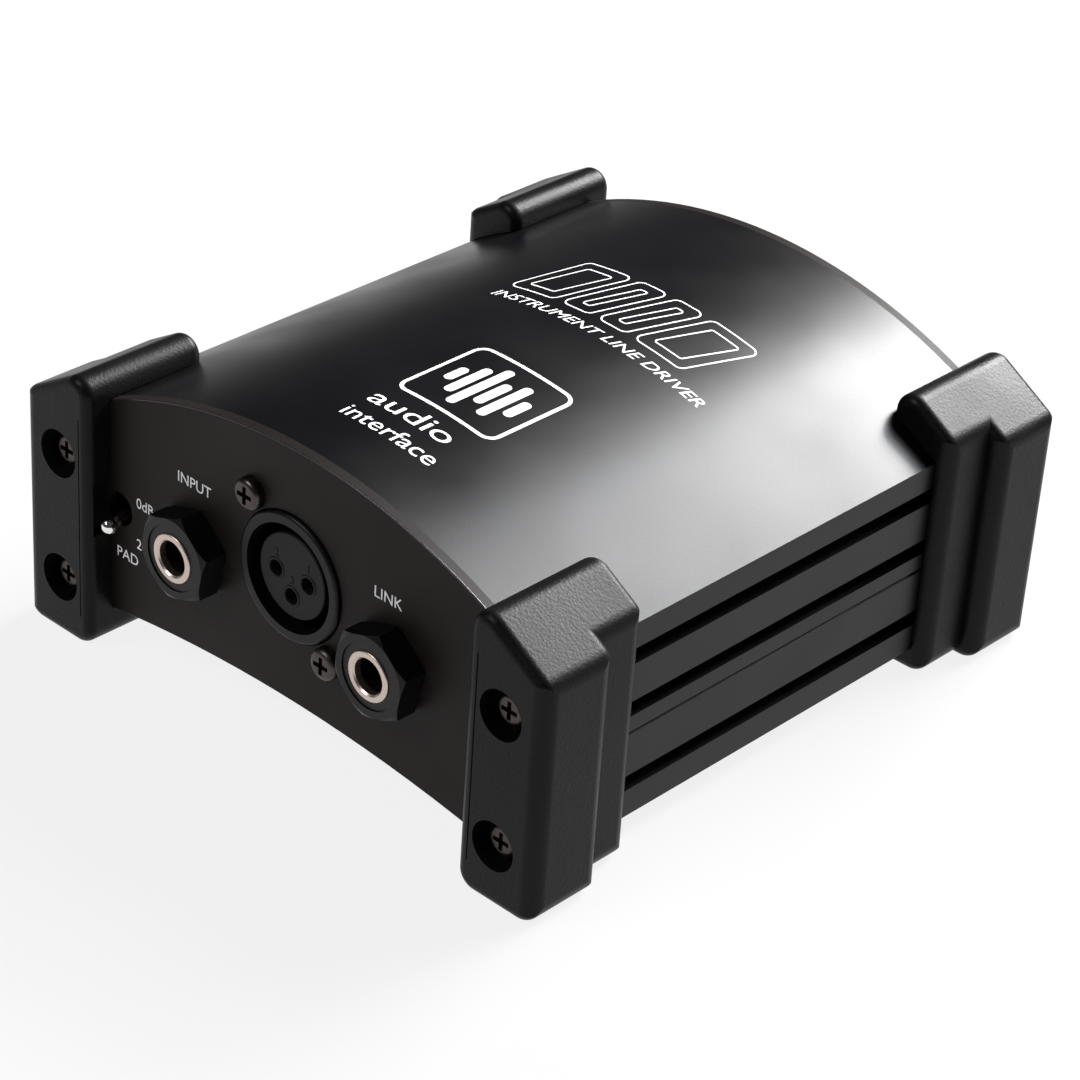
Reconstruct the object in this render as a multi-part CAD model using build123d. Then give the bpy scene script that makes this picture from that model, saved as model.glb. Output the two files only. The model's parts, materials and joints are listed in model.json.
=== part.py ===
from build123d import *
import os
from math import cos, radians, sin, tan

# Active direct injection box: an arched two-part extruded case closed by two
# end plates, four corner bumpers, and the sockets, switches and circuit board.
# Millimetres. Origin at the middle of the footprint, on the surface that the
# bumpers stand on; +X to the right seen from the input end, +Y back, +Z up.

# ---- Case -----------------------------------------------------------------
case_width = 111.2
case_depth = 120.0              # over both end plates
crown_height = 58.8             # top surface on the centreline
shoulder_height = 43.0          # top surface at the side walls
belly_height = 10.2              # underside on the centreline
belly_edge_height = 4.8         # underside at the side walls
wall = 2.0
end_plate = 2.0
edge_break = 0.3                # small chamfer on the case's visible edges
past = 1.0                      # how far a cut or a joined piece runs past a face

seam_height = 21.55             # where the two extrusions meet
seam_gap = 0.1
seam_chamfer = 0.45
lip_thickness = 1.4             # tongue that keeps the extrusions in line
lip_rise = 2.1
lip_clearance = 0.1

channel_width = 3.0             # open channels that the bumper screws bite into
channel_inset = 2.65            # channel axis in from the side wall's face
boss_wall = 2.0
upper_screw_height = 36.6
lower_screw_height = 11.6
trim_groove_width = 2.9         # third, shallower groove
trim_groove_depth = 2.6
trim_groove_rise = 4.8          # its middle above the seam
trim_groove_wall = 0.9

# ---- Bumpers ---------------------------------------------------------------
bumper_wrap = 10.4              # inner face in from the case's side wall
bumper_side = 6.6               # thickness beside the case, at the corner
bumper_side_thin = 3.1          # thickness beside the case, further along
bumper_front = 5.3              # thickness ahead of the end plate
bumper_thick_reach = 10.5       # how far the thick part runs along the case
bumper_reach = 21.0             # how far the whole bumper runs along the case
bumper_shoulder_rise = 2.5      # outer top edge above the case's shoulder
bumper_ramp = 31.0              # slope of the top, degrees
bumper_ridge_radius = 3.6
bumper_foot_radius = 3.6
bumper_top_radius = 3.6
bumper_corner_radius = 3.0
bumper_edge_radius = 1.9
bumper_clearance = 0.12         # between the pocket and the case
mould_line_inset = 2.2          # fine line down the front face, in from the inner edge
mould_line_width = 0.25
mould_line_depth = 0.3
mould_line_end = 6.0            # it stops short of the foot and of the shoulder
screw_recess_radius = 4.5
screw_recess_floor = 1.4
switch_notch_depth = 4.0        # relief in the bumper next to the pad switch
switch_notch_half_height = 5.2

# ---- Screws ----------------------------------------------------------------
screw_shank_radius = 1.4
screw_hole_radius = 1.65
screw_head_radius = 2.95
screw_head_height = 2.0
screw_head_round = 1.1
screw_bite = 8.0                # thread length inside the case channel
cross_length = 3.4
cross_width = 0.85
cross_depth = 1.1

# ---- Circuit board ---------------------------------------------------------
board_thickness = 1.6
board_drop = 2.55               # board top below the seam
board_slack = 0.2
board_edge_gap = 0.3
board_rib = 2.0
board_rib_height = 1.6
pin_hole_radius = 0.95
pin_tail = 1.2                  # pins stand out under the board

# ---- XLR sockets -----------------------------------------------------------
xlr_barrel_radius = 11.9
xlr_hole_clearance = 0.2
xlr_proud = 0.8
xlr_rim_radius = 0.7
xlr_flange_margin = 3.5         # flange beyond the screws' axes
xlr_flange_thickness = 2.0
xlr_flange_corner = 3.0
xlr_screw_angle = 51.63         # direction of the screws from the socket axis
xlr_screw_gap = 0.455           # between a screw's head and the rim
xlr_screw_length = 6.0
xlr_pin_radius = 1.2
xlr_pin_round = 0.96
xlr_pin_pitch = 3.81
xlr_barrel_step = 1.0           # barrel narrower behind the flange
xlr_depth = 16.0                # housing behind the end plate's face
socket_wall = 1.0
socket_ring_gap = 2.1           # ring-shaped gap round the socket insert
socket_insert_recess = 1.0
socket_floor = 3.0
contact_wall = 0.6
contact_setback = 2.0           # contact tubes behind the insert's face
contact_floor = 2.0
pin_entry = 0.25                # contact holes wider than a pin
fit = 0.05                      # clearance of pieces pressed or slid together
plug_bore_radius = 8.15
plug_pin_recess = 1.8
plug_floor = 3.0

# ---- Jack sockets ----------------------------------------------------------
jack_spacing = 47.4
jack_axis_rise = 10.0           # socket axis above the board
jack_bore_radius = 3.2
jack_bushing_radius = 6.0
jack_hole_clearance = 0.2
jack_ring_radius = 4.55
jack_nut_height = 5.2
jack_nut_wall = 1.35            # nut across its flats beyond the bushing
jack_nut_chamfer = 1.1
jack_nut_turn = 19.0            # degrees that the nut's corner is turned up
jack_body_width = 17.0
jack_body_above = 8.0
jack_body_depth = 26.0
jack_body_end = 2.0
jack_ring_proud = 0.1
jack_bushing_sunk = 0.25
jack_ring_length = 1.6
spring_thickness = 0.5
spring_width = 4.0
spring_offset = 3.35
spring_slot_inner = 2.6
spring_tail = 1.2
spring_rise = 4.0
spring_places = ((1, 12.0), (-1, 17.0), (1, 22.0))   # side, distance back

# ---- Toggle switches -------------------------------------------------------
pad_switch_inset = 2.2          # in from the bumper's inner face
ground_switch_x = -30.0
switch_axis_rise = 9.0          # lever pivot above the board
switch_hole_radius = 3.2
switch_pivot_back = 8.7         # lever pivot behind the end plate's face
lever_throw = 12.5              # degrees either side of level
lever_radius = 1.0
lever_tip_radius = 1.5
lever_length = 11.4             # pivot to the middle of the rounded tip
lever_hub_radius = 1.7
lever_tail_radius = 0.7
lever_tail_length = 5.2
lever_pin_radius = 0.5
lever_pin_half = 2.75
switch_bushing_radius = 3.1
switch_bushing_bore = 2.4
switch_bushing_length = 6.0
switch_body_back = 12.0         # body's front behind the end plate's face
switch_body_width = 8.0
switch_body_depth = 7.0
switch_body_above = 6.0
switch_wall = 1.0
switch_cavity_width = 5.2
switch_cavity_half = 4.4
rocker_back = 15.2              # rocker pivot behind the end plate's face
rocker_half = 3.2
rocker_width = 3.0
rocker_thickness = 0.4
rocker_pin_radius = 0.4
rocker_pin_half = 3.1
rocker_ratio = 0.6              # rocker turn for each degree of the lever
terminal = 0.8
terminal_pitch = 3.2
terminal_column = 2.0
terminal_first = 2.0
terminal_step = 2.2

# ---- Components on the board: x and y of each, then their sizes -------------
chip_places = ((-30.0, -8.0), (-16.0, -8.0), (-2.0, -8.0))
capacitor_places = ((-40.0, 8.0), (-31.0, 8.0), (-22.0, 8.0), (-13.0, 8.0), (-4.0, 8.0), (40.0, -22.0))
film_places = ((-38.0, 22.0), (-30.0, 22.0), (-22.0, 22.0), (12.0, 24.0))
resistor_count = 12
resistor_first = -40.0
resistor_pitch = 5.0
resistor_row = -20.0
transformer_x = 26.0
transformer_y = 4.0
core_width = 24.0
core_height = 20.0
core_depth = 12.0
core_leg = 4.0
coil_gap = 0.2
coil_overhang = 3.0
capacitor_radius = 3.15
capacitor_height = 8.5
capacitor_round = 0.5
film_size = (2.6, 7.2, 6.6)
chip_size = (5.0, 4.0, 1.6)
resistor_size = (3.2, 1.6, 0.6)

# ---- Worked out from the sizes above ---------------------------------------
half_width = case_width / 2
face = -case_depth / 2          # outer face of the input end plate
plate_back = face + end_plate
bumper_inner = half_width - bumper_wrap
bumper_outer = half_width + bumper_side
bumper_shoulder = shoulder_height + bumper_shoulder_rise
channel_x = half_width - channel_inset
screw_heights = (lower_screw_height, upper_screw_height)
trim_groove_height = seam_height + trim_groove_rise
board_top = seam_height - board_drop
board_bottom = board_top - board_thickness
xlr_screw_reach = xlr_barrel_radius + screw_head_radius + xlr_screw_gap
xlr_screw_x = xlr_screw_reach * cos(radians(xlr_screw_angle))
xlr_screw_z = xlr_screw_reach * sin(radians(xlr_screw_angle))
xlr_flange_width = 2 * (xlr_screw_x + xlr_flange_margin)
xlr_flange_height = 2 * (xlr_screw_z + xlr_flange_margin)
xlr_height = board_top + xlr_flange_height / 2      # the flange stands on the board
xlr_body_radius = xlr_barrel_radius - xlr_barrel_step
socket_bore_radius = xlr_body_radius - socket_wall
socket_insert_radius = socket_bore_radius - socket_ring_gap
jack_height = board_top + jack_axis_rise
jack_x = jack_spacing / 2
jack_nut_half = jack_bushing_radius + jack_nut_wall
switch_height = board_top + switch_axis_rise
pad_switch_x = pad_switch_inset - bumper_inner
xlr_pins = ((-xlr_pin_pitch, 0.0), (xlr_pin_pitch, 0.0), (0.0, -xlr_pin_pitch))
xlr_screws = ((-xlr_screw_x, xlr_screw_z), (xlr_screw_x, -xlr_screw_z))
pivot_y = face + switch_pivot_back
rocker_y = face + rocker_back
switch_body_front = face + switch_body_back
switch_body_rear = switch_body_front + switch_body_depth
xlr_rear = face + xlr_depth
resistor_places = [(resistor_first + resistor_pitch * i, resistor_row) for i in range(resistor_count)]


# ---- Helpers ---------------------------------------------------------------
def run_back(sketch, y_front, y_rear):
    """Front-view outline carried straight back from y_front to y_rear."""
    return Pos(0, y_rear, 0) * extrude(Plane.XZ * sketch, amount=y_rear - y_front)


def rod(radius, y_front, y_rear, x=0.0, z=0.0):
    """Round bar along Y."""
    return run_back(Pos(x, z) * Circle(radius), y_front, y_rear)


def block(x_low, x_high, y_low, y_high, z_low, z_high):
    """Rectangular block between two corners."""
    size = Box(x_high - x_low, y_high - y_low, z_high - z_low)
    return Pos((x_low + x_high) / 2, (y_low + y_high) / 2, (z_low + z_high) / 2) * size


def bar_down(x, z, y_start, y_bend, thick):
    """Square pin that runs back from y_start and then down through the board."""
    half = thick / 2
    level = block(x - half, x + half, y_start, y_bend + half, z - half, z + half)
    drop = block(x - half, x + half, y_bend - half, y_bend + half, board_bottom - pin_tail, z)
    return level + drop


def group(solids):
    """Separate solids kept together in one node."""
    return Compound(children=list(solids))


def to_rear(part):
    """The same piece at the output end."""
    return mirror(part, about=Plane.XZ)


def cross_recess(x, z, y_front):
    """Cross-shaped driver recess in a screw head."""
    across = block(-cross_length / 2, cross_length / 2, 0, cross_depth, -cross_width / 2, cross_width / 2)
    cross = across + Rot(0, 90, 0) * across
    return Pos(x, y_front, z) * cross


def pan_screw(x, z, y_seat, length):
    """Pan-head cross-recess screw whose head bears at y_seat."""
    y_front = y_seat - screw_head_height
    head = rod(screw_head_radius, y_front, y_seat, x, z)
    rounded = head.edges().group_by(Axis.Y)[0]
    head = fillet(rounded, screw_head_round)
    shank = rod(screw_shank_radius, y_seat, y_seat + length, x, z)
    return head + shank - cross_recess(x, z, y_front)


# ---- Case ------------------------------------------------------------------
def case_outline():
    """Front-view outline: arched top, straight sides, shallow arch beneath."""
    top = ThreePointArc((-half_width, shoulder_height), (0, crown_height), (half_width, shoulder_height))
    right = Line((half_width, shoulder_height), (half_width, belly_edge_height))
    belly = ThreePointArc(
        (half_width, belly_edge_height), (0, belly_height), (-half_width, belly_edge_height)
    )
    left = Line((-half_width, belly_edge_height), (-half_width, shoulder_height))
    return make_face(Curve() + [top, right, belly, left])


def side_pair(sketch):
    """A right-hand piece of the section and its mirror image on the left."""
    return sketch + mirror(sketch, about=Plane.YZ)


def rectangle(x_low, x_high, z_low, z_high):
    """Front-view rectangle between two corners."""
    shape = Rectangle(x_high - x_low, z_high - z_low)
    return Pos((x_low + x_high) / 2, (z_low + z_high) / 2) * shape


def channel_boss(height):
    """Metal round one screw channel."""
    reach = channel_width / 2 + boss_wall
    return side_pair(rectangle(channel_x - reach, half_width - wall / 2, height - reach, height + reach))


def channel_slot(height):
    """The open screw channel itself, with a round bottom."""
    half = channel_width / 2
    slot = rectangle(channel_x, half_width + wall, height - half, height + half)
    return side_pair(slot + Pos(channel_x, height) * Circle(half))


def shell_section():
    """Front-view section of both extrusions before they are parted."""
    outline = case_outline()
    hollow = offset(outline, -wall, kind=Kind.INTERSECTION)
    section = outline - hollow
    for height in screw_heights:
        section += channel_boss(height) & outline
    reach = trim_groove_width / 2
    pad = reach + trim_groove_wall
    pad_x = half_width - trim_groove_depth - trim_groove_wall
    section += side_pair(
        rectangle(pad_x, half_width - wall / 2, trim_groove_height - pad, trim_groove_height + pad)
    )
    for height in screw_heights:
        section -= channel_slot(height)
    groove_x = half_width - trim_groove_depth
    section -= side_pair(
        rectangle(groove_x, half_width + wall, trim_groove_height - reach, trim_groove_height + reach)
    )
    return section


def seam_bevel():
    """Small V-groove where the two extrusions meet."""
    corner = Pos(half_width, seam_height) * Rot(0, 0, 45) * Rectangle(seam_chamfer, seam_chamfer)
    return side_pair(corner)


def half_space(z_low, z_high):
    """Wide rectangle that parts the section at a height."""
    return rectangle(-case_width, case_width, z_low, z_high)


def finish_shell(section):
    """Run a section from end plate to end plate."""
    return run_back(section, plate_back, -plate_back)


def top_shell():
    """Upper extrusion: arched cover with the upper half of the side walls."""
    keep = half_space(seam_height + seam_gap / 2, 2 * crown_height)
    return finish_shell((shell_section() & keep) - seam_bevel())


def bottom_shell():
    """Lower extrusion: floor, lower side walls, board slots and tongue."""
    section = (shell_section() & half_space(-crown_height, seam_height - seam_gap / 2)) - seam_bevel()
    inner = half_width - wall
    rib_x = inner - board_rib
    section += side_pair(rectangle(rib_x, inner + wall / 2, board_bottom - board_rib_height, board_bottom))
    upper = board_top + board_slack
    tongue_x = inner - lip_clearance - lip_thickness
    tongue_root = seam_height - seam_gap / 2
    section += side_pair(rectangle(tongue_x, inner + wall / 2, upper, tongue_root))
    section += side_pair(
        rectangle(tongue_x, inner - lip_clearance, upper, seam_height + lip_rise)
    )
    return finish_shell(section)


def end_plate_blank():
    """End plate with its screw holes and broken outer edges."""
    plate = run_back(case_outline(), face, plate_back)
    plate = chamfer(plate.edges().group_by(Axis.Y)[0], edge_break)
    for x in (-channel_x, channel_x):
        for height in screw_heights:
            plate -= rod(screw_hole_radius, face - past, plate_back + past, x, height)
    plate -= rod(xlr_barrel_radius + xlr_hole_clearance, face - past, plate_back + past, 0, xlr_height)
    for x, z in xlr_screws:
        plate -= rod(screw_hole_radius, face - past, plate_back + past, x, xlr_height + z)
    return plate


def front_panel():
    """Input end plate."""
    plate = end_plate_blank()
    for x in (-jack_x, jack_x):
        plate -= rod(jack_bushing_radius + jack_hole_clearance, face - past, plate_back + past, x, jack_height)
    return plate - rod(switch_hole_radius, face - past, plate_back + past, pad_switch_x, switch_height)


def rear_panel():
    """Output end plate."""
    plate = end_plate_blank()
    plate -= rod(switch_hole_radius, face - past, plate_back + past, ground_switch_x, switch_height)
    return to_rear(plate)


# ---- Bumpers ---------------------------------------------------------------
def bumper_outline(outer):
    """Front-view outline of a right-hand bumper out to x = outer."""
    peak = bumper_shoulder + (bumper_outer - bumper_inner) * tan(radians(bumper_ramp))
    shoulder = peak - (outer - bumper_inner) * tan(radians(bumper_ramp))
    corners = (
        ((bumper_inner, 0), bumper_foot_radius),
        ((outer, 0), bumper_foot_radius),
        ((outer, shoulder), bumper_top_radius),
        ((bumper_inner, peak), bumper_ridge_radius),
    )
    outline = Polygon(*[corner for corner, _ in corners], align=None)
    for corner, radius in corners:
        vertex = outline.vertices().sort_by_distance(Vector(*corner))[0]
        outline = fillet(vertex, radius)
    return outline


def rounded_run(outer, y_front, y_rear):
    """The outline carried back, with both of its end faces rounded off."""
    run = run_back(bumper_outline(outer), y_front, y_rear)
    run = fillet(run.edges().group_by(Axis.Y)[0], bumper_edge_radius)
    return fillet(run.edges().group_by(Axis.Y)[-1], bumper_edge_radius)


def plan_corner(outer, y_front, y_rear):
    """Top-view outline that rounds the upright front corner and the back end."""
    plan = Polygon(
        (bumper_inner - past, y_front), (outer, y_front), (outer, y_rear), (bumper_inner - past, y_rear), align=None
    )
    plan = fillet(plan.vertices().group_by(Axis.X)[-1], bumper_corner_radius)
    return extrude(plan, amount=2 * crown_height)


def bumper():
    """Right-hand front bumper: stepped corner cap with a pocket for the case."""
    y_front = face - bumper_front
    y_step = face + bumper_thick_reach
    y_end = face + bumper_reach
    thin = half_width + bumper_side_thin
    body = rounded_run(bumper_outer, y_front, y_step) & plan_corner(bumper_outer, y_front, y_step)
    body += rounded_run(thin, face, y_end) & plan_corner(thin, face - bumper_corner_radius, y_end)
    pocket = offset(case_outline(), bumper_clearance, kind=Kind.INTERSECTION)
    body -= run_back(pocket, face, y_end + past)
    for height in screw_heights:
        body -= rod(screw_recess_radius, y_front - past, face - screw_recess_floor, channel_x, height)
        body -= rod(screw_hole_radius, y_front - past, face + past, channel_x, height)
    line_x = bumper_inner + mould_line_inset
    return body - block(
        line_x, line_x + mould_line_width, y_front - past, y_front + mould_line_depth,
        mould_line_end, bumper_shoulder
    )


def switch_notch():
    """Relief in the front left bumper's inner face, beside the pad switch."""
    deep = pad_switch_x - switch_hole_radius - 2 * jack_hole_clearance
    low = switch_height - switch_notch_half_height
    high = switch_height + switch_notch_half_height
    return block(deep, -bumper_inner + past, face - switch_notch_depth, face + past, low, high)


def bumper_screws():
    """The four screws of the input end's bumpers."""
    seat = face - screw_recess_floor
    length = screw_recess_floor + end_plate + screw_bite
    places = [(x, z) for x in (-channel_x, channel_x) for z in screw_heights]
    return group(pan_screw(x, z, seat, length) for x, z in places)


# ---- XLR sockets -----------------------------------------------------------
def xlr_flange():
    """Plate behind the end plate that carries an XLR socket's barrel."""
    outline = Pos(0, xlr_height) * RectangleRounded(xlr_flange_width, xlr_flange_height, xlr_flange_corner)
    flange = run_back(outline, plate_back, plate_back + xlr_flange_thickness)
    for x, z in xlr_screws:
        flange -= rod(screw_shank_radius + fit, plate_back - past, xlr_rear, x, xlr_height + z)
    return flange


def xlr_barrel():
    """Barrel with a rounded rim just proud of the end plate."""
    rim = rod(xlr_barrel_radius, face - xlr_proud, plate_back + xlr_flange_thickness, 0, xlr_height)
    rim = fillet(rim.edges().group_by(Axis.Y)[0], xlr_rim_radius)
    return rim + rod(xlr_body_radius, plate_back, xlr_rear, 0, xlr_height)


def xlr_input_housing():
    """Socket housing: barrel with a ring-shaped gap round the insert."""
    body = xlr_barrel() + xlr_flange()
    floor_y = xlr_rear - socket_floor
    body -= rod(socket_bore_radius, face - xlr_proud - past, floor_y, 0, xlr_height)
    return body - rod(socket_insert_radius + fit, floor_y - past, xlr_rear + past, 0, xlr_height)


def xlr_input_insert():
    """Socket insert with three contact holes."""
    y_front = face - xlr_proud + socket_insert_recess
    insert = rod(socket_insert_radius, y_front, xlr_rear, 0, xlr_height)
    insert = fillet(insert.edges().group_by(Axis.Y)[0], edge_break)
    sleeve = xlr_pin_radius + contact_wall + 2 * fit
    for x, z in xlr_pins:
        insert -= rod(xlr_pin_radius + pin_entry, y_front - past, xlr_rear, x, xlr_height + z)
        insert -= rod(sleeve, y_front + contact_setback, xlr_rear + past, x, xlr_height + z)
    return insert


def xlr_input_contacts():
    """Three contact tubes with tails down to the board."""
    y_front = face - xlr_proud + socket_insert_recess + contact_setback + fit
    tubes = []
    for x, z in xlr_pins:
        height = xlr_height + z
        tube = rod(xlr_pin_radius + contact_wall, y_front, xlr_rear, x, height)
        tube -= rod(xlr_pin_radius + fit, y_front - past, xlr_rear - contact_floor, x, height)
        tubes.append(tube + bar_down(x, height, xlr_rear, xlr_rear + terminal_first, terminal))
    return group(tubes)


def xlr_output_housing():
    """Plug housing: barrel with a deep round recess."""
    body = xlr_barrel() + xlr_flange()
    return to_rear(body - rod(plug_bore_radius, face - xlr_proud - past, xlr_rear + past, 0, xlr_height))


def xlr_output_insert():
    """Disc at the bottom of the recess that holds the three pins."""
    disc = rod(plug_bore_radius - fit, xlr_rear - plug_floor, xlr_rear, 0, xlr_height)
    for x, z in xlr_pins:
        disc -= rod(xlr_pin_radius + fit, xlr_rear - plug_floor - past, xlr_rear + past, -x, xlr_height + z)
    return to_rear(disc)


def xlr_output_pins():
    """Three round-ended pins with tails down to the board."""
    y_front = face - xlr_proud + plug_pin_recess
    pins = []
    for x, z in xlr_pins:
        height = xlr_height + z
        pin = rod(xlr_pin_radius, y_front, xlr_rear + fit, x, height)
        pin = fillet(pin.edges().group_by(Axis.Y)[0], xlr_pin_round)
        pins.append(to_rear(pin + bar_down(x, height, xlr_rear, xlr_rear + terminal_first, terminal)))
    return group(pins)


def xlr_screw_pair():
    """The two screws of the input end's XLR socket."""
    return group(pan_screw(x, xlr_height + z, face, xlr_screw_length) for x, z in xlr_screws)


# ---- Jack sockets ----------------------------------------------------------
def jack_body(x):
    """Moulded jack body with its threaded bushing through the end plate."""
    half = jack_body_width / 2
    rear = plate_back + jack_body_depth
    body = block(x - half, x + half, plate_back, rear, board_top, jack_height + jack_body_above)
    bushing_front = face - jack_nut_height + jack_bushing_sunk
    body += rod(jack_bushing_radius, bushing_front, plate_back + past, x, jack_height)
    ring_end = face - jack_nut_height - jack_ring_proud + jack_ring_length
    body -= rod(jack_ring_radius + fit, face - jack_nut_height - past, ring_end, x, jack_height)
    body -= rod(jack_bore_radius, ring_end - past, rear - jack_body_end, x, jack_height)
    for side, back in spring_places:
        inner = x + side * spring_slot_inner
        outer = x + side * (spring_offset + spring_thickness + lip_clearance)
        y_mid = face + back
        reach = spring_width / 2 + lip_clearance
        body -= block(
            min(inner, outer), max(inner, outer), y_mid - reach, y_mid + reach,
            board_top - past, jack_height + spring_rise + lip_clearance
        )
    return body


def jack_springs(x):
    """Contact springs that stand beside the jack's bore."""
    springs = []
    for side, back in spring_places:
        inner = x + side * spring_offset
        outer = x + side * (spring_offset + spring_thickness)
        low, high = min(inner, outer), max(inner, outer)
        y_mid = face + back
        leaf = block(
            low, high, y_mid - spring_width / 2, y_mid + spring_width / 2,
            board_top + lip_clearance, jack_height + spring_rise
        )
        leaf += block(
            low, high, y_mid - spring_tail / 2, y_mid + spring_tail / 2,
            board_bottom - pin_tail, board_top + past
        )
        springs.append(leaf)
    return group(springs)


def jack_ring(x):
    """Metal sleeve ring in the mouth of the jack."""
    y_front = face - jack_nut_height - jack_ring_proud
    ring = rod(jack_ring_radius, y_front, y_front + jack_ring_length - fit, x, jack_height)
    ring = fillet(ring.edges().group_by(Axis.Y)[0], edge_break)
    ring -= rod(jack_bore_radius, y_front - past, y_front + jack_ring_length, x, jack_height)
    return chamfer(ring.edges().group_by(Axis.Y)[0], edge_break)


def jack_nut(x):
    """Hexagonal nut, chamfered on both faces."""
    hexagon = RegularPolygon(jack_nut_half, 6, major_radius=False)
    corner = jack_nut_half / cos(radians(30))
    turned = Pos(x, jack_height) * Rot(0, 0, jack_nut_turn) * hexagon
    nut = run_back(turned, face - jack_nut_height, face)
    cone = rod(corner, face - jack_nut_height, face, x, jack_height)
    rims = cone.edges().filter_by(GeomType.CIRCLE)
    nut &= chamfer(rims, jack_nut_chamfer * tan(radians(30)), jack_nut_chamfer)
    return nut - rod(jack_bushing_radius + fit, face - jack_nut_height - past, face + past, x, jack_height)


# ---- Toggle switches -------------------------------------------------------
def switch_bushing(x):
    """Metal bushing that holds the lever's cross pin."""
    y_front = switch_body_front - switch_bushing_length
    tube = rod(switch_bushing_radius, y_front, switch_body_front, x, switch_height)
    tube = chamfer(tube.edges().group_by(Axis.Y)[0], edge_break)
    tube -= rod(switch_bushing_bore, y_front - past, switch_body_front + past, x, switch_height)
    pin_seat = Rot(0, 90, 0) * Cylinder(lever_pin_radius + fit, 2 * (lever_pin_half + fit))
    return tube - Pos(x, pivot_y, switch_height) * pin_seat


def switch_body(x):
    """Switch body with a cavity for the rocker and seats for its pins."""
    half = switch_body_width / 2
    top = switch_height + switch_body_above
    body = block(x - half, x + half, switch_body_front, switch_body_rear, board_top, top)
    half = switch_cavity_width / 2
    low = switch_height - switch_cavity_half
    high = switch_height + switch_cavity_half
    y_low = switch_body_front + switch_wall
    y_high = switch_body_rear - switch_wall
    body -= block(x - half, x + half, y_low, y_high, low, high)
    body -= rod(switch_bushing_bore, switch_body_front - past, y_low + past, x, switch_height)
    pin_seat = Rot(0, 90, 0) * Cylinder(rocker_pin_radius + fit, 2 * (rocker_pin_half + fit))
    return body - Pos(x, rocker_y, switch_height) * pin_seat


def switch_lever(x):
    """Ball-tipped lever on its cross pin, tipped down to the end of its throw."""
    shaft = rod(lever_radius, -lever_length, 0)
    tip = Pos(0, -lever_length, 0) * Sphere(lever_tip_radius)
    hub = Sphere(lever_hub_radius)
    tail = rod(lever_tail_radius, 0, lever_tail_length)
    tail += Pos(0, lever_tail_length, 0) * Sphere(lever_tail_radius)
    pin = Rot(0, 90, 0) * Cylinder(lever_pin_radius, 2 * lever_pin_half)
    return Pos(x, pivot_y, switch_height) * Rot(lever_throw, 0, 0) * (shaft + tip + hub + tail + pin)


def switch_rocker(x):
    """Rocking contact plate, tipped the way that the lever's tail holds it."""
    half = rocker_thickness / 2
    plate = block(-rocker_width / 2, rocker_width / 2, -half, half, -rocker_half, rocker_half)
    pin = Rot(0, 90, 0) * Cylinder(rocker_pin_radius, 2 * rocker_pin_half)
    tilt = -lever_throw * rocker_ratio
    return Pos(x, rocker_y, switch_height) * Rot(tilt, 0, 0) * (plate + pin)


def terminal_places(x):
    """Each terminal's x, height and the place where it turns down."""
    for side in (-1, 1):
        for row in range(3):
            height = switch_height + (row - 1) * terminal_pitch
            yield x + side * terminal_column, height, switch_body_rear + terminal_first + row * terminal_step


def switch_terminals(x):
    """Six terminals that run back from the switch and down into the board."""
    return group(bar_down(px, z, switch_body_rear, y, terminal) for px, z, y in terminal_places(x))


# ---- Circuit board and what stands on it ------------------------------------
def board_pins():
    """Where every socket and switch pin goes through the board."""
    for y in (xlr_rear + terminal_first, -xlr_rear - terminal_first):
        for x, _ in xlr_pins:
            yield x, y
    for x in (-jack_x, jack_x):
        for side, back in spring_places:
            yield x + side * (spring_offset + spring_thickness / 2), face + back
    for x, _, y in terminal_places(pad_switch_x):
        yield x, y
    for x, _, y in terminal_places(ground_switch_x):
        yield x, -y


def circuit_board():
    """Board that slides into the lower extrusion's slots."""
    half = half_width - wall - board_edge_gap
    end = plate_back + board_slack
    board = block(-half, half, end, -end, board_bottom, board_top)
    for x, y in board_pins():
        board -= Pos(x, y, (board_top + board_bottom) / 2) * Cylinder(pin_hole_radius, 2 * board_thickness)
    return board


def standing_blocks(places, size):
    """Equal rectangular components standing on the board."""
    blocks = []
    for x, y in places:
        part = block(
            x - size[0] / 2, x + size[0] / 2, y - size[1] / 2, y + size[1] / 2, board_top, board_top + size[2]
        )
        blocks.append(part)
    return group(blocks)


def electrolytic_capacitors():
    """Round capacitors standing on the board."""
    cans = []
    for x, y in capacitor_places:
        can = Pos(x, y, board_top + capacitor_height / 2) * Cylinder(capacitor_radius, capacitor_height)
        cans.append(fillet(can.edges().group_by(Axis.Z)[-1], capacitor_round))
    return group(cans)


def transformer_core():
    """Laminated core: a frame with a middle leg."""
    low = board_top + core_leg / 2
    x_half = core_width / 2
    y_half = core_depth / 2
    core = block(-x_half, x_half, -y_half, y_half, low, low + core_height)
    window = (core_width - 4 * core_leg) / 2
    for side in (-1, 1):
        mid = side * (core_leg + window / 2)
        core -= block(
            mid - window / 2, mid + window / 2, -core_depth, core_depth,
            low + core_leg, low + core_height - core_leg
        )
    feet = block(-x_half, x_half, -y_half, y_half, board_top, low)
    return Pos(transformer_x, transformer_y, 0) * (core + feet)


def transformer_coil():
    """Winding round the core's middle leg."""
    low = board_top + core_leg / 2 + core_leg + coil_gap
    high = board_top + core_leg / 2 + core_height - core_leg - coil_gap
    window = (core_width - 4 * core_leg) / 2
    x_half = core_leg + window - coil_gap
    y_half = core_depth / 2 + coil_overhang
    coil = block(-x_half, x_half, -y_half, y_half, low, high)
    hole_x = core_leg + coil_gap
    hole_y = core_depth / 2 + coil_gap
    coil -= block(-hole_x, hole_x, -hole_y, hole_y, low - past, high + past)
    return Pos(transformer_x, transformer_y, 0) * coil


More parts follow.
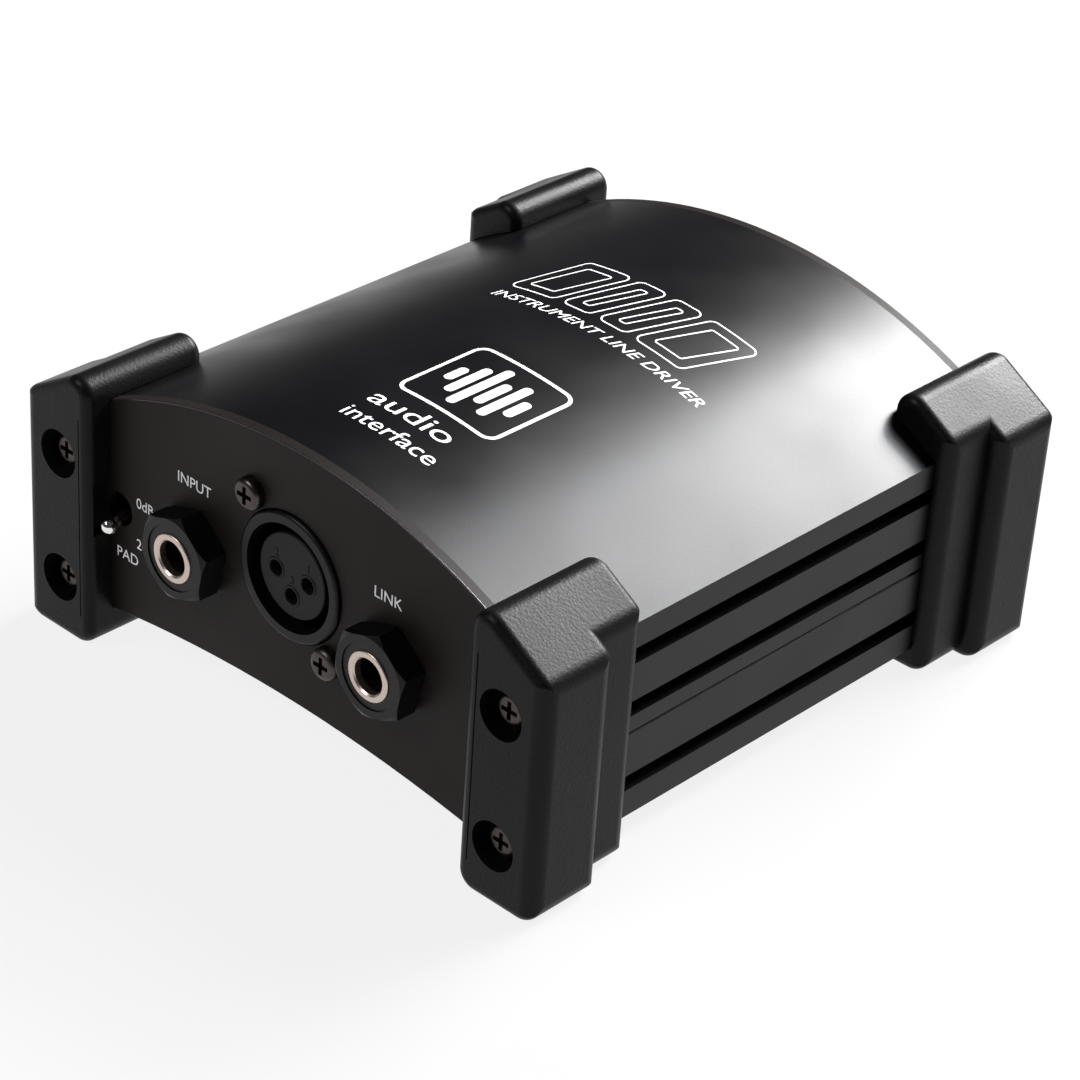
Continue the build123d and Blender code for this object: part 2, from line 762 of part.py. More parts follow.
# ---- Every sub-part in its own file -------------------------------------------
def sub_parts():
    """Name and shape of every sub-part."""
    right_front = bumper()
    left_front = mirror(right_front, about=Plane.YZ)
    yield "top_shell", top_shell()
    yield "bottom_shell", bottom_shell()
    yield "front_panel", front_panel()
    yield "rear_panel", rear_panel()
    yield "bumper_front_right", right_front
    yield "bumper_front_left", left_front - switch_notch()
    yield "bumper_rear_right", to_rear(right_front)
    yield "bumper_rear_left", to_rear(left_front)
    yield "bumper_screws_front", bumper_screws()
    yield "bumper_screws_rear", to_rear(bumper_screws())
    yield "xlr_input_housing", xlr_input_housing()
    yield "xlr_input_insert", xlr_input_insert()
    yield "xlr_input_contacts", xlr_input_contacts()
    yield "xlr_input_screws", xlr_screw_pair()
    yield "xlr_output_housing", xlr_output_housing()
    yield "xlr_output_insert", xlr_output_insert()
    yield "xlr_output_pins", xlr_output_pins()
    yield "xlr_output_screws", to_rear(xlr_screw_pair())
    for name, x in (("input", -jack_x), ("link", jack_x)):
        yield name + "_jack_body", jack_body(x)
        yield name + "_jack_nut", jack_nut(x)
        yield name + "_jack_ring", jack_ring(x)
        yield name + "_jack_contacts", jack_springs(x)
    pieces = (
        ("body", switch_body), ("bushing", switch_bushing), ("lever", switch_lever),
        ("rocker", switch_rocker), ("terminals", switch_terminals)
    )
    for name, shape in pieces:
        yield "pad_switch_" + name, shape(pad_switch_x)
        yield "ground_switch_" + name, to_rear(shape(ground_switch_x))
    yield "circuit_board", circuit_board()
    yield "op_amp_chips", standing_blocks(chip_places, chip_size)
    yield "electrolytic_capacitors", electrolytic_capacitors()
    yield "film_capacitors", standing_blocks(film_places, film_size)
    yield "resistors", standing_blocks(resistor_places, resistor_size)
    yield "transformer_core", transformer_core()
    yield "transformer_coil", transformer_coil()


os.makedirs("parts", exist_ok=True)
for node, shape in sub_parts():
    export_step(shape, "parts/" + node + ".step")
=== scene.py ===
import json
import math

import bmesh
import bpy
from mathutils import Euler, Matrix, Vector
from mathutils.bvhtree import BVHTree


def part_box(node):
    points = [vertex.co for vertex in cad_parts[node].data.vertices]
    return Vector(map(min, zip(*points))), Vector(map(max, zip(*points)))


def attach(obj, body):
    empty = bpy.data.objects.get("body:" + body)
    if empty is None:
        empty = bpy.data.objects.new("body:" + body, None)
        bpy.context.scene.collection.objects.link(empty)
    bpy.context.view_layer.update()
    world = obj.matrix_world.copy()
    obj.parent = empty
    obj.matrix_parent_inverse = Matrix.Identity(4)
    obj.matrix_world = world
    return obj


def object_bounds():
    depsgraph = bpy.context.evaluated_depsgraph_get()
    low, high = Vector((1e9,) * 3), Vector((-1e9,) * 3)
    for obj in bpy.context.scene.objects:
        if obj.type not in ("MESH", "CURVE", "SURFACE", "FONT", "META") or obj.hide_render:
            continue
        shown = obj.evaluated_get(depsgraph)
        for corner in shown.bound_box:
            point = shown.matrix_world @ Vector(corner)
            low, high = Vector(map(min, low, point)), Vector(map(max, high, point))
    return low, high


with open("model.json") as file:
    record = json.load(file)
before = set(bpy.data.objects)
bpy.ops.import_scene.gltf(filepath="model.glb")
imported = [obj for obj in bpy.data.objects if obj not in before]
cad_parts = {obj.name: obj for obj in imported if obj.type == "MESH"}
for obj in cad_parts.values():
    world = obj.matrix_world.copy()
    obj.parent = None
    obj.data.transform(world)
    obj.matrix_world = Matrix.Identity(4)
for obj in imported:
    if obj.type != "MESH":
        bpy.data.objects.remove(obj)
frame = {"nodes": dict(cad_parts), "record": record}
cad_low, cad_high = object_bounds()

MM = 0.001
NODES = frame["nodes"]
BOX = "box"                         # the body that carries everything but the switch levers

# Camera: where it aims, seen from the middle of the footprint, and from which side it looks.
CAMERA_AIM = Vector((4.2, -4.0, 21.0)) * MM
CAMERA_AZIMUTH = 41.6
CAMERA_ELEVATION = 31.39
CAMERA_ROLL = 3.88
CAMERA_DISTANCE = 605.3 * MM
CAMERA_LENS = 114.8
SENSOR_WIDTH = 36.0
CLIP = (0.01, 50.0)                 # nearest and farthest distance that the camera sees

# Floor and lights; each light has its place, aim, size, power and colour, in metres and watts.
FLOOR_HALF = 6.0
# The floor's own colour is dark. Its brightness is painted light from its emission, so it takes almost no
# cast shadow.
FLOOR_COLOUR = (0.07, 0.07, 0.07)
FLOOR_ROUGHNESS = 0.9
FLOOR_GLOW = 0.85                   # painted pool of light: the floor's emission round the object
FLOOR_FADE = 0.45                   # and far away
FLOOR_POOL = (0.36, 1.40)           # where it fades from one to the other
SURROUND = (0.05, 0.05, 0.052)
LIGHTS = {
    "top_box": ((0.14, 0.64, 0.68), (0.03, 0.02, 0.04), (0.60, 0.40), 15.0, (0.95, 0.97, 1.0)),
    "rear_box": ((0.04, 0.85, 0.62), (0.03, 0.05, 0.04), (0.50, 0.24), 21.0, (1.0, 0.98, 0.96)),
    "front_box": ((-0.55, -1.15, 1.25), (0, 0, 0.03), (0.7, 0.35), 10.0, (0.98, 0.99, 1.0)),
}

# Grain of the coatings and mouldings.
NOISE_LOW, NOISE_HIGH = 0.3, 0.7    # the range that the noise mostly stays in
FINE_DETAIL = 4.0
BROAD_DETAIL = 2.0
BROAD_GRAIN = 25 * MM               # slow wander of the gloss
LEATHER_CELL = 0.55 * MM
LEATHER_SOFTNESS = 0.6
LEATHER_FINE = 0.25 * MM
LEATHER_FINE_SHARE = 0.5
LEATHER_BROAD = 18 * MM
LEATHER_DEPTH = 0.06 * MM
LEATHER_STRENGTH = 0.45
LEATHER_SPECULAR = 0.13
LEATHER_GLOSS = 0.05
LEATHER_TINT = (0.8, 1.25)          # darkest and lightest share of the colour

# Print: each word on a panel has its left end, its baseline above the floor and its capital height, in mm.
INK_LIFT = 0.03 * MM                # thickness of the printed ink
INK_SINK = INK_LIFT / 3             # how far it is let into the arch
PRINT_STEP = 1.5 * MM               # longest stretch of print that stays flat on the arch
CAPITAL_SHARE = 0.70                # of the font's size
FONT_SMOOTHNESS = 6
FRONT_WORDS = (
    ("INPUT", -28.2, 40.4, 2.1),
    ("LINK", 19.2, 40.2, 2.1),
    ("0dB", -38.7, 30.3, 2.0),
    ("20dB", -38.7, 22.1, 2.0),
    ("PAD", -43.9, 18.4, 2.1),
)
REAR_WORDS = (
    ("OUTPUT", -5.2, 50.2, 2.1),
    ("GND", 26.9, 34.2, 2.0),
    ("LIFT", 26.9, 18.6, 2.0),
)
SLANT = 0.28                        # sideways lean for each unit of height
BARS = ((-20.5, -9.5), (-8.0, -1.0), (0.5, 7.5), (9.0, 20.5))   # left and right feet, mm
BAR_LOW, BAR_HIGH = 10.4 * MM, 27.0 * MM
BAR_LINE = 0.32 * MM
BAR_CORNER = 1.6 * MM
BAR_INSET = 2.4 * MM
BAR_INNER_CORNER = 0.7 * MM
BAR_SQUEEZE = (1.2, 0.8)            # shares of the inset on the leaning and the open side
TAG_PLACE = (-20.3 * MM, 5.6 * MM)
TAG_HEIGHT = 2.4 * MM
TAG_WIDE = 1.20
BADGE_LEFT, BADGE_RIGHT = -5.0 * MM, 17.5 * MM
BADGE_LOW, BADGE_HIGH = -33.0 * MM, -11.5 * MM
BADGE_CORNER = 2.6 * MM
BADGE_LINE = 0.75 * MM
LEVELS = (2.6, 5.4, 7.8, 4.2, 6.4, 3.0)     # half heights of the badge's level bars, mm
LEVEL_FIRST = 4.2                   # mm from the badge's left side
LEVEL_PITCH = 2.85
LEVEL_HALF = 0.95 * MM
LEVEL_CORNER = 0.9 * MM
BADGE_WORDS = (("audio", 4.4, 1.35, -39.8), ("interface", 3.7, 1.15, -46.0))   # height, stretch, baseline
BADGE_WORDS_LEFT = -4.8 * MM

# Round input socket, in millimetres from its axis, and the arch's front edge.
PIN_PITCH = 3.81
DIGITS = (("2", -PIN_PITCH, 2.3), ("1", PIN_PITCH, 2.3), ("3", 0, -1.5))
DIGIT_HEIGHT = 1.5 * MM
DIGIT_LIFT = 0.09 * MM
RIM_SECTION = ((1.46, -0.02), (1.50, 0.10), (1.62, 0.16), (1.80, 0.16), (1.92, 0.10), (1.98, -0.02))
RIM_STEPS = 48
EDGE_RADIUS = 0.2 * MM              # bead along the arch's front edge
EDGE_STEPS = 120
EDGE_SIDES = 12
EDGE_PROBE = 1.0 * MM               # how far behind the panel's face the arch is measured


# ---- Materials ---------------------------------------------------------------
def principled(name, colour, roughness, metallic=0.0, specular=0.5):
    """A material with its uniform values set on the shader's own sockets."""
    material = bpy.data.materials.new(name)
    material.use_nodes = True
    shader = material.node_tree.nodes["Principled BSDF"]
    shader.inputs["Base Color"].default_value = (*colour, 1.0)
    shader.inputs["Roughness"].default_value = roughness
    shader.inputs["Metallic"].default_value = metallic
    shader.inputs["Specular IOR Level"].default_value = specular
    return material, shader


def noise(tree, per_metre, detail=3.0, stretch=(1, 1, 1)):
    """Noise in the object's own metres."""
    place = tree.nodes.new("ShaderNodeTexCoord")
    mapping = tree.nodes.new("ShaderNodeMapping")
    mapping.inputs["Scale"].default_value = stretch
    texture = tree.nodes.new("ShaderNodeTexNoise")
    texture.inputs["Scale"].default_value = per_metre
    texture.inputs["Detail"].default_value = detail
    tree.links.new(place.outputs["Object"], mapping.inputs["Vector"])
    tree.links.new(mapping.outputs["Vector"], texture.inputs["Vector"])
    return texture.outputs["Fac"]


def spread(tree, value, low, high):
    """Noise carried into a range."""
    ramp = tree.nodes.new("ShaderNodeMapRange")
    ramp.inputs["From Min"].default_value = NOISE_LOW
    ramp.inputs["From Max"].default_value = NOISE_HIGH
    ramp.inputs["To Min"].default_value = low
    ramp.inputs["To Max"].default_value = high
    tree.links.new(value, ramp.inputs["Value"])
    return ramp.outputs["Result"]


def blend_colours(tree, value, dark, light):
    """Noise carried between two colours."""
    mix = tree.nodes.new("ShaderNodeMix")
    mix.data_type = "RGBA"
    mix.inputs["A"].default_value = (*dark, 1.0)
    mix.inputs["B"].default_value = (*light, 1.0)
    tree.links.new(value, mix.inputs["Factor"])
    return mix.outputs["Result"]


def bump(tree, shader, height, depth, strength):
    """Relief of the given depth in metres."""
    node = tree.nodes.new("ShaderNodeBump")
    node.inputs["Strength"].default_value = strength
    node.inputs["Distance"].default_value = depth
    tree.links.new(height, node.inputs["Height"])
    tree.links.new(node.outputs["Normal"], shader.inputs["Normal"])


def textured(name, colour, roughness, grain, depth, strength,
             tint=0.25, gloss=0.05, stretch=(1, 1, 1), metallic=0.0, specular=0.5):
    """Grain of a given size in metres, with colour and gloss that wander a little."""
    material, shader = principled(name, colour, roughness, metallic, specular)
    tree = material.node_tree
    fine = noise(tree, 1 / grain, FINE_DETAIL, stretch)
    broad = noise(tree, 1 / BROAD_GRAIN, BROAD_DETAIL)
    dark = [c * (1 - tint) for c in colour]
    light = [c * (1 + tint) for c in colour]
    tree.links.new(blend_colours(tree, spread(tree, fine, 0, 1), dark, light), shader.inputs["Base Color"])
    tree.links.new(spread(tree, broad, roughness - gloss, roughness + gloss), shader.inputs["Roughness"])
    bump(tree, shader, fine, depth, strength)
    return material


def leather_grain(name, colour, roughness):
    """Moulded plastic with a fine pebbled grain."""
    material, shader = principled(name, colour, roughness, specular=LEATHER_SPECULAR)
    tree = material.node_tree
    place = tree.nodes.new("ShaderNodeTexCoord")
    cells = tree.nodes.new("ShaderNodeTexVoronoi")
    cells.feature = "SMOOTH_F1"
    cells.inputs["Scale"].default_value = 1 / LEATHER_CELL
    cells.inputs["Smoothness"].default_value = LEATHER_SOFTNESS
    tree.links.new(place.outputs["Object"], cells.inputs["Vector"])
    fine = noise(tree, 1 / LEATHER_FINE)
    mix = tree.nodes.new("ShaderNodeMath")
    mix.operation = "MULTIPLY_ADD"
    mix.inputs[1].default_value = LEATHER_FINE_SHARE
    tree.links.new(fine, mix.inputs[0])
    tree.links.new(cells.outputs["Distance"], mix.inputs[2])
    broad = noise(tree, 1 / LEATHER_BROAD, BROAD_DETAIL)
    dark, light = [[c * share for c in colour] for share in LEATHER_TINT]
    tree.links.new(blend_colours(tree, spread(tree, broad, 0, 1), dark, light), shader.inputs["Base Color"])
    gloss = spread(tree, broad, roughness - LEATHER_GLOSS, roughness + LEATHER_GLOSS)
    tree.links.new(gloss, shader.inputs["Roughness"])
    bump(tree, shader, mix.outputs[0], LEATHER_DEPTH, LEATHER_STRENGTH)
    return material


MATERIALS = {
    "case_coating": textured("case_coating", (0.0020, 0.0021, 0.0026), 0.34, 0.40 * MM, 0.022 * MM, 0.42,
                             specular=0.22),
    "panel_coating": textured("panel_coating", (0.0098, 0.0074, 0.0064), 0.50, 0.14 * MM, 0.012 * MM, 0.30,
                              specular=0.13),
    "bumper_plastic": leather_grain("bumper_plastic", (0.0042, 0.0040, 0.0041), 0.38),
    "black_screw": textured("black_screw", (0.075, 0.064, 0.058), 0.34, 0.20 * MM, 0.008 * MM, 0.30,
                            metallic=1.0),
    "socket_metal": textured("socket_metal", (0.0035, 0.0034, 0.0034), 0.36, 0.20 * MM, 0.008 * MM, 0.25,
                             specular=0.20),
    "insert_plastic": textured("insert_plastic", (0.007, 0.0062, 0.0058), 0.50, 0.15 * MM, 0.010 * MM, 0.3,
                               specular=0.20),
    "contact_metal": textured("contact_metal", (0.78, 0.66, 0.42), 0.25, 0.3 * MM, 0.004 * MM, 0.2,
                              metallic=1.0, tint=0.08),
    "jack_plastic": textured("jack_plastic", (0.004, 0.004, 0.004), 0.42, 0.2 * MM, 0.008 * MM, 0.2,
                             specular=0.25),
    "nut_plastic": textured("nut_plastic", (0.0030, 0.0030, 0.0031), 0.38, 0.25 * MM, 0.010 * MM, 0.25,
                            specular=0.22),
    "ring_metal": textured("ring_metal", (0.60, 0.50, 0.44), 0.36, 0.25 * MM, 0.004 * MM, 0.2,
                           metallic=1.0, tint=0.06),
    "switch_plastic": textured("switch_plastic", (0.02, 0.02, 0.02), 0.5, 0.2 * MM, 0.008 * MM, 0.2),
    "switch_metal": textured("switch_metal", (0.50, 0.49, 0.48), 0.28, 0.2 * MM, 0.005 * MM, 0.2,
                             metallic=1.0, tint=0.08),
    "lever_chrome": textured("lever_chrome", (0.86, 0.84, 0.82), 0.13, 0.4 * MM, 0.003 * MM, 0.15,
                             metallic=1.0, tint=0.04, gloss=0.02),
    "board_laminate": textured("board_laminate", (0.02, 0.13, 0.05), 0.3, 0.4 * MM, 0.010 * MM, 0.2),
    "chip_plastic": textured("chip_plastic", (0.02, 0.02, 0.02), 0.55, 0.1 * MM, 0.010 * MM, 0.3),
    "can_sleeve": textured("can_sleeve", (0.02, 0.03, 0.07), 0.3, 0.6 * MM, 0.010 * MM, 0.2),
    "film_plastic": textured("film_plastic", (0.32, 0.07, 0.03), 0.3, 0.8 * MM, 0.030 * MM, 0.3),
    "core_steel": textured("core_steel", (0.22, 0.21, 0.20), 0.45, 0.3 * MM, 0.020 * MM, 0.4, metallic=1.0,
                           stretch=(1, 6, 1)),
    "winding": textured("winding", (0.50, 0.36, 0.08), 0.4, 0.5 * MM, 0.020 * MM, 0.3, stretch=(1, 1, 5)),
}
EDGE_PAINT = textured("edge_paint", (0.05, 0.05, 0.055), 0.22, 0.3 * MM, 0.003 * MM, 0.2, metallic=0.6)
WHITE_INK = textured("white_ink", (0.80, 0.80, 0.81), 0.45, 0.25 * MM, 0.004 * MM, 0.2, tint=0.04)


def dress_cad_nodes():
    """Every CAD node gets the material of its slot."""
    for part in frame["record"]["subparts"]:
        mesh = NODES[part["node"]].data
        mesh.materials.clear()
        mesh.materials.append(MATERIALS[part["material_slot"]])


# ---- Print -------------------------------------------------------------------
def text_mesh(words, height, wide=1.0, slant=0.0, align="LEFT"):
    """Flat lettering in its own XY plane, with capitals of the given height."""
    curve = bpy.data.curves.new("words", "FONT")
    curve.body = words
    curve.size = height / CAPITAL_SHARE
    curve.shear = slant
    curve.align_x = align
    curve.resolution_u = FONT_SMOOTHNESS
    holder = bpy.data.objects.new("words", curve)
    bpy.context.scene.collection.objects.link(holder)
    bpy.context.view_layer.update()
    mesh = bpy.data.meshes.new_from_object(holder.evaluated_get(bpy.context.evaluated_depsgraph_get()))
    bpy.data.objects.remove(holder)
    mesh.transform(Matrix.Diagonal((wide, 1, 1, 1)))
    return mesh


def rounded_loop(corners, radius, steps=6):
    """Closed outline through corners, each rounded by a radius."""
    points = []
    count = len(corners)
    for i, corner in enumerate(corners):
        here = Vector(corner)
        before = (Vector(corners[i - 1]) - here).normalized()
        after = (Vector(corners[(i + 1) % count]) - here).normalized()
        half = before.angle(after) / 2
        start = here + before * (radius / math.tan(half))
        end = here + after * (radius / math.tan(half))
        centre = here + (before + after).normalized() * (radius / math.sin(half))
        for k in range(steps + 1):
            arm = (start - centre).lerp(end - centre, k / steps)
            points.append(centre + arm.normalized() * radius)
    return points


def ribbon(bm, loop, width):
    """Closed line of the given width, drawn as quads inside the loop."""
    count = len(loop)
    rows = []
    for i, point in enumerate(loop):
        along = (loop[(i + 1) % count] - loop[i - 1]).normalized()
        inward = Vector((-along.y, along.x))
        pair = [point, point + inward * width]
        rows.append([bm.verts.new((p.x, p.y, 0)) for p in pair])
    for i in range(count):
        a, b = rows[i], rows[(i + 1) % count]
        bm.faces.new((a[0], b[0], b[1], a[1]))


def filled(bm, loop):
    """Solid patch inside a loop."""
    bm.faces.new([bm.verts.new((p.x, p.y, 0)) for p in loop])


def add_mesh(bm, mesh, x, y):
    """Lettering set down with its left end at x and its baseline at y."""
    copy = bmesh.new()
    copy.from_mesh(mesh)
    copy.transform(Matrix.Translation((x, y, 0)))
    moved = bpy.data.meshes.new("moved")
    copy.to_mesh(moved)
    copy.free()
    bm.from_mesh(moved)
    bpy.data.meshes.remove(moved)


def new_piece(name, bm, material):
    """A mesh piece that rides on the box."""
    mesh = bpy.data.meshes.new(name)
    bmesh.ops.recalc_face_normals(bm, faces=bm.faces)
    bm.to_mesh(mesh)
    bm.free()
    mesh.materials.append(material)
    piece = bpy.data.objects.new(name, mesh)
    bpy.context.scene.collection.objects.link(piece)
    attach(piece, BOX)
    return piece


def smooth(piece):
    """Smooth shading on every face of a piece."""
    for face in piece.data.polygons:
        face.use_smooth = True


def thicken(bm, depth):
    """Flat print pulled up into a thin closed layer."""
    top = bmesh.ops.extrude_face_region(bm, geom=bm.faces[:])
    verts = [v for v in top["geom"] if isinstance(v, bmesh.types.BMVert)]
    bmesh.ops.translate(bm, verts=verts, vec=(0, 0, depth))


def cut_into_strips(bm, step):
    """Cuts flat print across X, so that it can follow the arch."""
    low = min(v.co.x for v in bm.verts)
    high = max(v.co.x for v in bm.verts)
    x = low + step
    while x < high:
        geometry = bm.verts[:] + bm.edges[:] + bm.faces[:]
        bmesh.ops.bisect_plane(bm, geom=geometry, plane_co=(x, 0, 0), plane_no=(1, 0, 0))
        x += step


def height_finder(node):
    """Function that gives the height of a node's upper surface at x, y."""
    mesh = NODES[node].data
    tree = BVHTree.FromPolygons([v.co for v in mesh.vertices], [p.vertices for p in mesh.polygons])
    above = cad_high.z + 1
    return lambda x, y: tree.ray_cast(Vector((x, y, above)), Vector((0, 0, -1)))[0].z


def lay_on_arch(bm):
    """Drops print onto the top shell, keeping its thickness."""
    height = height_finder("top_shell")
    for v in bm.verts:
        v.co.z += height(v.co.x, v.co.y) - INK_SINK


def front_transform(face):
    """Carries flat print onto a face that looks forward at y = face."""
    return Matrix.Translation((0, face, 0)) @ Euler((math.radians(90), 0, 0)).to_matrix().to_4x4()


def rear_transform(face):
    """Carries flat print onto a face that looks back at y = face, to be read from behind."""
    turn = Euler((math.radians(90), 0, math.radians(180))).to_matrix().to_4x4()
    return Matrix.Translation((0, face, 0)) @ turn


def panel_print(name, words, transform):
    """Lettering on an end plate, in millimetres from the middle and above the floor."""
    bm = bmesh.new()
    for text, x, z, size in words:
        add_mesh(bm, text_mesh(text, size * MM), x * MM, z * MM)
    thicken(bm, INK_LIFT)
    bm.transform(transform)
    new_piece(name, bm, WHITE_INK)


def leaning_box(left, right, low, high):
    """Corners of a box that leans right; each side has a place at its foot and one at its top."""
    lean = (BAR_HIGH - BAR_LOW) * SLANT
    return [(left[0], low), (right[0], low), (right[1] + lean, high), (left[1] + lean, high)]


def outlined_bars(bm):
    """Row of leaning bars, each drawn as one line inside another."""
    wide, narrow = [BAR_INSET * share for share in BAR_SQUEEZE]
    for left, right in BARS:
        left *= MM
        right *= MM
        outer = leaning_box((left, left), (right, right), BAR_LOW, BAR_HIGH)
        ribbon(bm, rounded_loop(outer, BAR_CORNER), BAR_LINE)
        inner = leaning_box((left + wide, left + narrow), (right - narrow, right - wide),
                            BAR_LOW + BAR_INSET, BAR_HIGH - BAR_INSET)
        ribbon(bm, rounded_loop(inner, BAR_INNER_CORNER), BAR_LINE)


def level_badge(bm):
    """Rounded frame round a row of level bars."""
    corners = [(BADGE_LEFT, BADGE_LOW), (BADGE_RIGHT, BADGE_LOW),
               (BADGE_RIGHT, BADGE_HIGH), (BADGE_LEFT, BADGE_HIGH)]
    ribbon(bm, rounded_loop(corners, BADGE_CORNER), BADGE_LINE)
    middle = (BADGE_LOW + BADGE_HIGH) / 2
    for i, reach in enumerate(LEVELS):
        x = BADGE_LEFT + (LEVEL_FIRST + LEVEL_PITCH * i) * MM
        low, high = middle - reach * MM, middle + reach * MM
        bar = [(x - LEVEL_HALF, low), (x + LEVEL_HALF, low), (x + LEVEL_HALF, high), (x - LEVEL_HALF, high)]
        filled(bm, rounded_loop(bar, LEVEL_CORNER))


def top_print():
    """Generic graphics on the arch: leaning bars, a line of words and a level badge."""
    bm = bmesh.new()
    outlined_bars(bm)
    add_mesh(bm, text_mesh("INSTRUMENT LINE DRIVER", TAG_HEIGHT, TAG_WIDE, SLANT), *TAG_PLACE)
    level_badge(bm)
    for words, height, wide, baseline in BADGE_WORDS:
        add_mesh(bm, text_mesh(words, height * MM, wide), BADGE_WORDS_LEFT, baseline * MM)
    cut_into_strips(bm, PRINT_STEP)
    thicken(bm, INK_LIFT)
    lay_on_arch(bm)
    new_piece("top_print", bm, WHITE_INK)


def socket_numbers():
    """Raised contact numbers on the socket's insert."""
    low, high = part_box("xlr_input_insert")
    middle = (low + high) / 2
    bm = bmesh.new()
    for digit, x, z in DIGITS:
        add_mesh(bm, text_mesh(digit, DIGIT_HEIGHT, align="CENTER"), middle.x + x * MM, middle.z + z * MM)
    thicken(bm, DIGIT_LIFT)
    bm.transform(front_transform(low.y))
    new_piece("socket_numbers", bm, MATERIALS["insert_plastic"])


def contact_rims():
    """Raised rims round the socket's contact holes."""
    low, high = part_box("xlr_input_insert")
    middle = (low + high) / 2
    bm = bmesh.new()
    for x, z in ((-PIN_PITCH, 0), (PIN_PITCH, 0), (0, -PIN_PITCH)):
        centre = Vector((middle.x + x * MM, middle.z + z * MM))
        rows = []
        for radius, lift in RIM_SECTION:
            ring = []
            for k in range(RIM_STEPS):
                turn = 2 * math.pi * k / RIM_STEPS
                ring.append(bm.verts.new((centre.x + radius * MM * math.cos(turn), low.y - lift * MM,
                                          centre.y + radius * MM * math.sin(turn))))
            rows.append(ring)
        for inner, outer in zip(rows, rows[1:]):
            for k in range(RIM_STEPS):
                after = (k + 1) % RIM_STEPS
                bm.faces.new((inner[k], inner[after], outer[after], outer[k]))
    smooth(new_piece("contact_rims", bm, MATERIALS["insert_plastic"]))


def arch_edge():
    """Rounded painted bead that fills the front panel's broken edge along the arch."""
    height = height_finder("front_panel")
    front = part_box("front_panel")[0].y
    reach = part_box("bumper_front_right")[0].x
    path = []
    for i in range(EDGE_STEPS + 1):
        x = -reach + 2 * reach * i / EDGE_STEPS
        top = height(x, front + EDGE_PROBE)
        path.append(Vector((x, front + EDGE_RADIUS, top - EDGE_RADIUS)))
    bm = bmesh.new()
    rows = []
    for i, point in enumerate(path):
        along = (path[min(i + 1, EDGE_STEPS)] - path[max(i - 1, 0)]).normalized()
        up = Vector((0, -1, 0)).cross(along).normalized()
        row = []
        for k in range(EDGE_SIDES):
            turn = 2 * math.pi * k / EDGE_SIDES
            arm = up * math.sin(turn) + Vector((0, -1, 0)) * math.cos(turn)
            row.append(bm.verts.new(point + arm * EDGE_RADIUS))
        rows.append(row)
    for here, there in zip(rows, rows[1:]):
        for k in range(EDGE_SIDES):
            after = (k + 1) % EDGE_SIDES
            bm.faces.new((here[k], here[after], there[after], there[k]))
    bm.faces.new(rows[0])
    bm.faces.new(rows[-1])
    smooth(new_piece("arch_edge", bm, EDGE_PAINT))


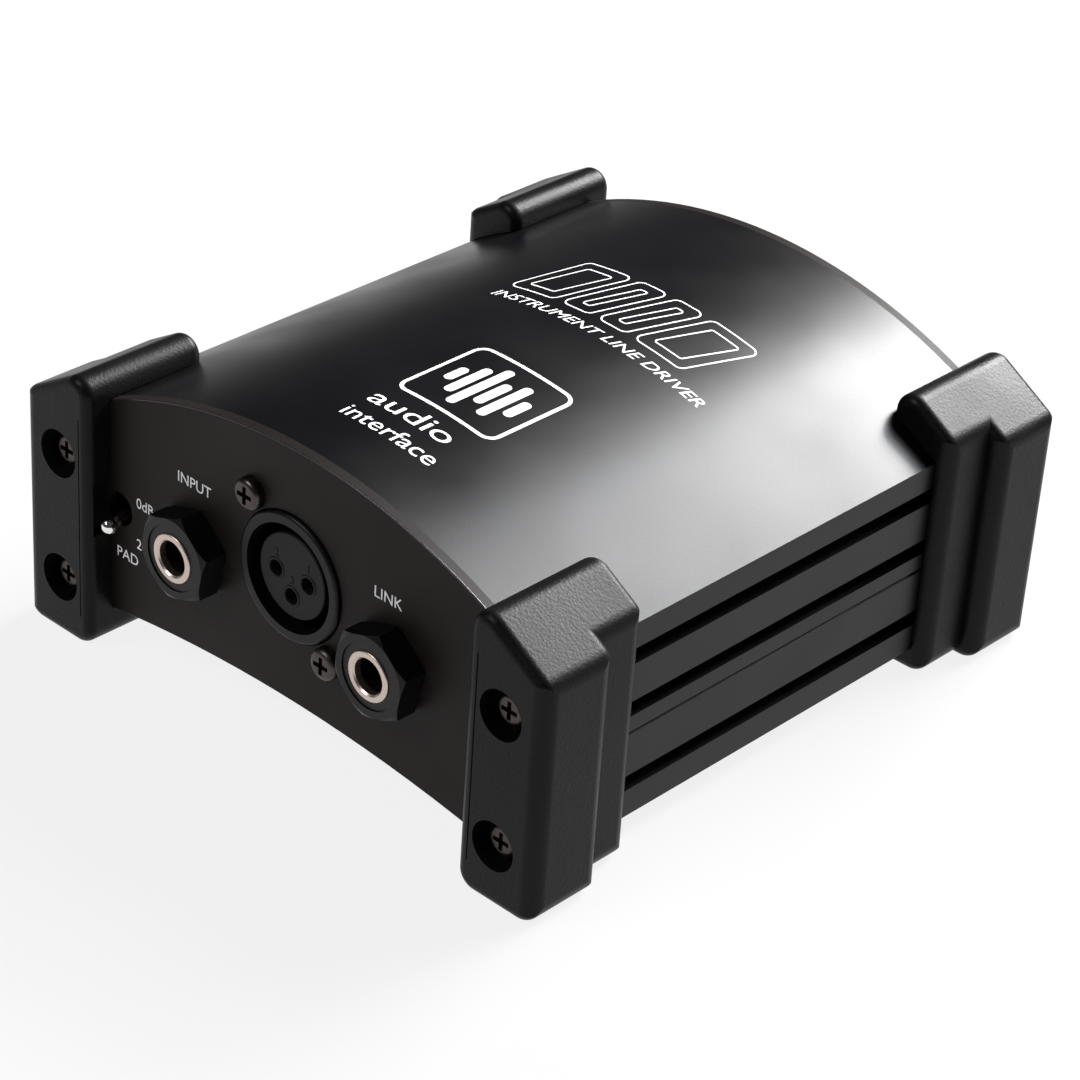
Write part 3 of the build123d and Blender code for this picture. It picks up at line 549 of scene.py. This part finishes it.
# ---- Stage -------------------------------------------------------------------
def make_floor():
    """Pale floor whose emission paints a pool of light round the object, fading far away."""
    half = FLOOR_HALF
    corners = [(-half, -half, 0), (half, -half, 0), (half, half, 0), (-half, half, 0)]
    mesh = bpy.data.meshes.new("floor")
    mesh.from_pydata(corners, [], [(0, 1, 2, 3)])
    material, shader = principled("floor", FLOOR_COLOUR, FLOOR_ROUGHNESS, specular=0.0)
    # Painted pool of light: the floor glows, brightest round the object and dimmer far away.
    shader.inputs["Emission Color"].default_value = (1.0, 1.0, 1.0, 1.0)
    tree = material.node_tree
    place = tree.nodes.new("ShaderNodeTexCoord")
    away = tree.nodes.new("ShaderNodeVectorMath")
    away.operation = "LENGTH"
    glow = tree.nodes.new("ShaderNodeMapRange")
    glow.interpolation_type = "SMOOTHSTEP"
    glow.inputs["From Min"].default_value, glow.inputs["From Max"].default_value = FLOOR_POOL
    glow.inputs["To Min"].default_value = FLOOR_GLOW
    glow.inputs["To Max"].default_value = FLOOR_FADE
    tree.links.new(place.outputs["Object"], away.inputs[0])
    tree.links.new(away.outputs["Value"], glow.inputs["Value"])
    tree.links.new(glow.outputs["Result"], shader.inputs["Emission Strength"])
    mesh.materials.append(material)
    floor = bpy.data.objects.new("floor", mesh)
    bpy.context.scene.collection.objects.link(floor)


def area_light(name, place, aim, size, power, colour):
    """Rectangular soft light that faces a point."""
    data = bpy.data.lights.new(name, "AREA")
    data.shape = "RECTANGLE"
    data.size, data.size_y = size
    data.energy = power
    data.color = colour
    light = bpy.data.objects.new(name, data)
    light.location = Vector(place)
    light.rotation_euler = (Vector(aim) - Vector(place)).to_track_quat("-Z", "Y").to_euler()
    bpy.context.scene.collection.objects.link(light)


def make_lights():
    """Soft boxes behind and above the case, a weaker one in front, and a dim surround."""
    world = bpy.data.worlds.new("surround")
    world.use_nodes = True
    world.node_tree.nodes["Background"].inputs["Color"].default_value = (*SURROUND, 1)
    bpy.context.scene.world = world
    for name, settings in LIGHTS.items():
        area_light(name, *settings)


def make_camera():
    """Camera aimed a little off the case's middle, rolled as the view is."""
    azimuth = math.radians(CAMERA_AZIMUTH)
    elevation = math.radians(CAMERA_ELEVATION)
    back = Vector((math.sin(azimuth) * math.cos(elevation), -math.cos(azimuth) * math.cos(elevation),
                   math.sin(elevation)))
    data = bpy.data.cameras.new("camera")
    data.lens = CAMERA_LENS
    data.sensor_width = SENSOR_WIDTH
    data.clip_start, data.clip_end = CLIP
    camera = bpy.data.objects.new("camera", data)
    camera.location = CAMERA_AIM + back * CAMERA_DISTANCE
    level = (-back).to_track_quat("-Z", "Y").to_matrix().to_4x4()
    roll = Matrix.Rotation(math.radians(CAMERA_ROLL), 4, "Z")
    camera.rotation_euler = (level @ roll).to_euler()
    bpy.context.scene.collection.objects.link(camera)
    bpy.context.scene.camera = camera
    bpy.context.scene.view_settings.view_transform = "Standard"
    bpy.context.scene.view_settings.look = "None"


make_camera()
make_lights()
make_floor()
dress_cad_nodes()
panel_print("front_print", FRONT_WORDS, front_transform(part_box("front_panel")[0].y))
panel_print("rear_print", REAR_WORDS, rear_transform(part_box("rear_panel")[1].y))
top_print()
socket_numbers()
contact_rims()
arch_edge()
